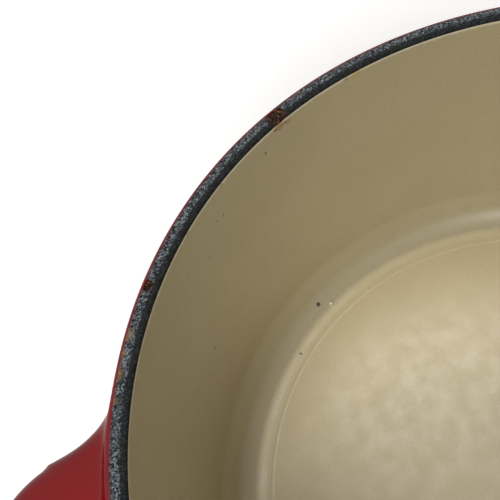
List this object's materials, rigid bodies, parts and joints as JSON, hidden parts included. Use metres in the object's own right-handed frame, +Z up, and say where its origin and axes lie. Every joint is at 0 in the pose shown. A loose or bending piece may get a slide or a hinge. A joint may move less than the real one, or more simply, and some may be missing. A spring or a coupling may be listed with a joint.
{
  "type": "covered casserole dish",
  "caption": "Round enamelled cast-iron casserole pot with loop handles and a domed, knobbed lid that lies off it and turns over onto its rim.",
  "frame": {"origin": "centre of the pot's flat base, on the surface it stands on", "axes": "+Z up along the pot's axis, handles along X, the lid off the pot on the -Y side"},
  "size_m": [0.317, 0.548, 0.111],
  "materials": {
    "cast_iron": "bare grey iron, rusted where it shows",
    "red_enamel": "glossy vitreous enamel",
    "rim_enamel": "matt dark grey, finely speckled",
    "sand_enamel": "satin vitreous enamel, faintly pinholed",
    "phenolic": "semi-gloss moulded phenolic",
    "steel": "fine turned stainless steel",
    "brass": "machined",
    "gasket": "soft silicone"
  },
  "bodies": {
    "pot": {"pot_casting": "cast_iron", "pot_outer_enamel": "red_enamel", "pot_base_enamel": "red_enamel", "pot_rim_enamel": "rim_enamel", "pot_inner_enamel": "sand_enamel"},
    "lid": {"lid_casting": "cast_iron", "lid_outer_enamel": "red_enamel", "lid_rim_enamel": "rim_enamel", "lid_inner_enamel": "sand_enamel", "knob": "phenolic", "knob_insert": "brass", "knob_cap": "steel", "knob_collar": "steel", "knob_gasket": "gasket", "knob_screw": "steel", "screw_washer": "steel"}
  },
  "joints": [
    {"name": "lid_turn", "type": "hinge", "parent": "pot", "child": "lid", "pos_m": [0, -0.15, 0.08625], "axis": [-1, 0, 0], "range_deg": [0, 180]}
  ]
}
